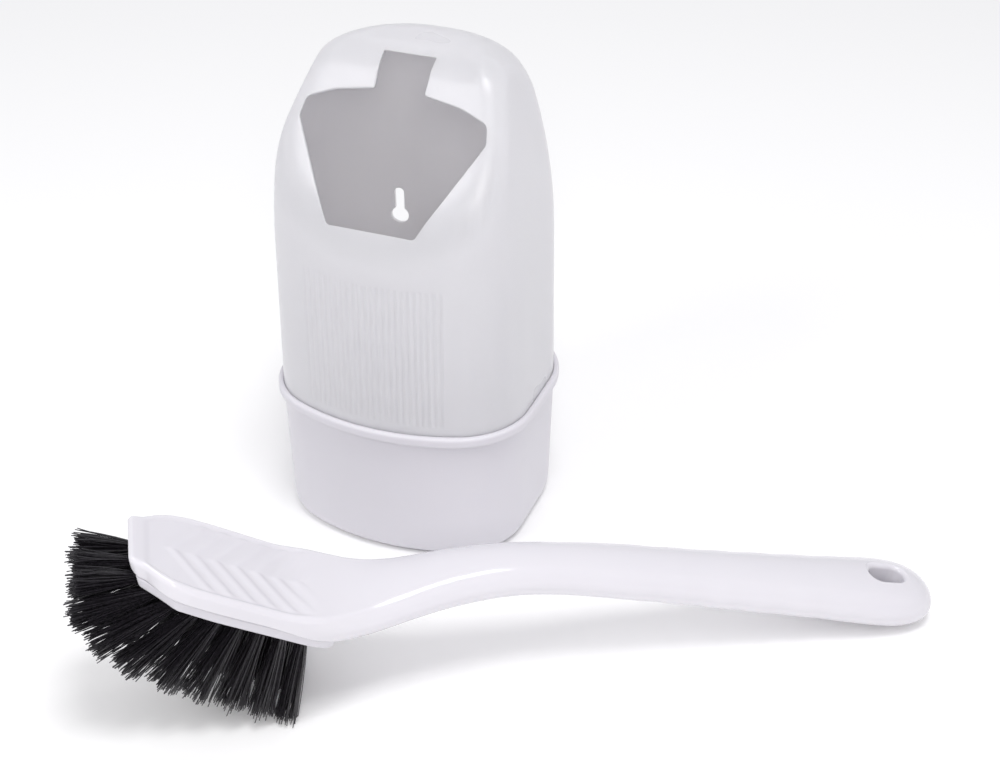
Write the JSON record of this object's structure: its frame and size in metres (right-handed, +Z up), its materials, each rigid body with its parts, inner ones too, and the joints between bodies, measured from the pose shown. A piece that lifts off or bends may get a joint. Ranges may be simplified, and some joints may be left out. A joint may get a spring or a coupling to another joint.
{
  "type": "toilet brush holder",
  "caption": "Toilet brush holder with brush: arched hood with a slanted notched mouth on a drip cup, and a curved one-piece brush with a fan of tufts.",
  "frame": {"origin": "middle of the cup's underside, on the floor", "axes": "+Z up; the hood's mouth and the flutes face -Y, its keyholed back faces +Y; +X to the right seen from the front"},
  "size_m": [0.3389, 0.2793, 0.238],
  "materials": {
    "cup_plastic": "satin moulded polypropylene",
    "hood_plastic": "satin moulded polypropylene",
    "brush_plastic": "glossy moulded polypropylene",
    "block_plastic": "glossy moulded polypropylene",
    "bristle": "black crimped nylon filament",
    "anchor_steel": "bright flat wire"
  },
  "bodies": {
    "cup": {"base_cup": "cup_plastic"},
    "hood": {"hood": "hood_plastic"},
    "brush": {"brush_handle": "brush_plastic", "bristle_block": "block_plastic", "tuft_anchors": "anchor_steel", "tuft_left_1": "bristle", "tuft_left_2": "bristle", "tuft_left_3": "bristle", "tuft_left_4": "bristle", "tuft_left_5": "bristle", "tuft_left_6": "bristle", "tuft_left_7": "bristle", "tuft_left_8": "bristle", "tuft_left_9": "bristle", "tuft_middle_1": "bristle", "tuft_middle_2": "bristle", "tuft_middle_3": "bristle", "tuft_middle_4": "bristle", "tuft_middle_5": "bristle", "tuft_middle_6": "bristle", "tuft_middle_7": "bristle", "tuft_middle_8": "bristle", "tuft_middle_9": "bristle", "tuft_right_1": "bristle", "tuft_right_2": "bristle", "tuft_right_3": "bristle", "tuft_right_4": "bristle", "tuft_right_5": "bristle", "tuft_right_6": "bristle", "tuft_right_7": "bristle", "tuft_right_8": "bristle", "tuft_right_9": "bristle"}
  },
  "joints": [
    {"name": "hood_lift", "type": "slide", "parent": "cup", "child": "hood", "axis": [0, 0, 1], "range_m": [0, 0.15]},
    {"name": "brush_pick_up", "type": "slide", "parent": "cup", "child": "brush", "axis": [0, 0, 1], "range_m": [0, 0.2]}
  ]
}
